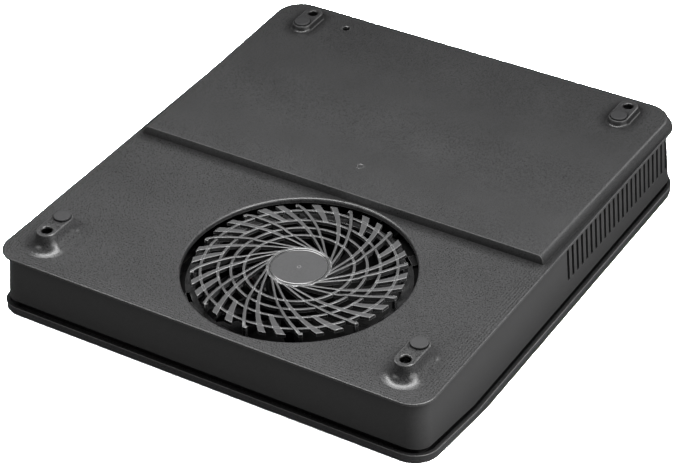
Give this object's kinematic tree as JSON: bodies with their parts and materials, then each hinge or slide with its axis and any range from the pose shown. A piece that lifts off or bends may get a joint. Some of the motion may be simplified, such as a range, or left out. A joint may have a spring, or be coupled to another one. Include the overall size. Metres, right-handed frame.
{
  "type": "laptop cooling pad",
  "caption": "Flat laptop cooling pad lying underside up: stepped bottom cover, spiral fan grille, vented side walls, screw-boss feet and a slotted laptop platform.",
  "frame": {"origin": "centre of the footprint, on the plane of the laptop platform that the pad lies on, with its bottom cover facing up", "axes": "+X to the right along the user's edge, +Y from the user's edge to the rear edge, +Z out of the bottom cover, which is down when the pad is turned over for use"},
  "size_m": [0.275, 0.31, 0.0583],
  "materials": {
    "cover_plastic": "dark grey moulded plastic with a fine spark texture",
    "wall_plastic": "dark grey moulded plastic, satin",
    "shell_plastic": "dark grey moulded plastic, satin",
    "grille_plastic": "near-black moulded plastic, semi-gloss with bright edges",
    "fan_plastic": "black moulded plastic, satin",
    "foot_rubber": "dark grey rubber, matt",
    "platform_paint": "thin steel sheet, painted dark, satin",
    "screw_steel": "zinc-plated steel",
    "magnet_ferrite": "pressed ferrite, matt",
    "bearing_bronze": "sintered bronze",
    "stator_steel": "stacked lamination steel",
    "coil_copper": "enamelled copper wire",
    "board_laminate": "glass-fibre laminate under green solder mask",
    "socket_metal": "tin-plated steel",
    "switch_plastic": "black moulded nylon",
    "lead_red": "red wire insulation",
    "lead_black": "black wire insulation"
  },
  "bodies": {
    "housing": {"bottom_cover": "cover_plastic", "foot_pad_front_left": "foot_rubber", "foot_pad_front_right": "foot_rubber", "foot_pad_rear_left": "foot_rubber", "foot_pad_rear_right": "foot_rubber", "case_screw_front_left": "screw_steel", "case_screw_front_right": "screw_steel", "case_screw_rear_left": "screw_steel", "case_screw_rear_right": "screw_steel", "fan_grille": "grille_plastic", "side_frame": "wall_plastic", "top_shell": "shell_plastic", "laptop_platform": "platform_paint", "grip_pad_left": "foot_rubber", "grip_pad_right": "foot_rubber", "fan_frame": "fan_plastic", "fan_bearing": "bearing_bronze", "stator_core": "stator_steel", "stator_coil_1": "coil_copper", "stator_coil_2": "coil_copper", "stator_coil_3": "coil_copper", "stator_coil_4": "coil_copper", "motor_board": "board_laminate", "fan_screw_1": "screw_steel", "fan_screw_2": "screw_steel", "fan_screw_3": "screw_steel", "fan_screw_4": "screw_steel", "power_board": "board_laminate", "power_socket": "socket_metal", "switch_body": "switch_plastic", "fan_lead_red": "lead_red", "fan_lead_black": "lead_black"},
    "rotor": {"fan_rotor": "fan_plastic", "fan_shaft": "screw_steel", "rotor_magnet": "magnet_ferrite"},
    "switch_knob": {"switch_slider": "switch_plastic"}
  },
  "joints": [
    {"name": "fan_spin", "type": "hinge", "parent": "housing", "child": "rotor", "pos_m": [0.018, -0.0821, 0.026], "axis": [0, 0, 1], "continuous": true},
    {"name": "switch_slide", "type": "slide", "parent": "housing", "child": "switch_knob", "axis": [1, 0, 0], "range_m": [0, 0.006]}
  ]
}
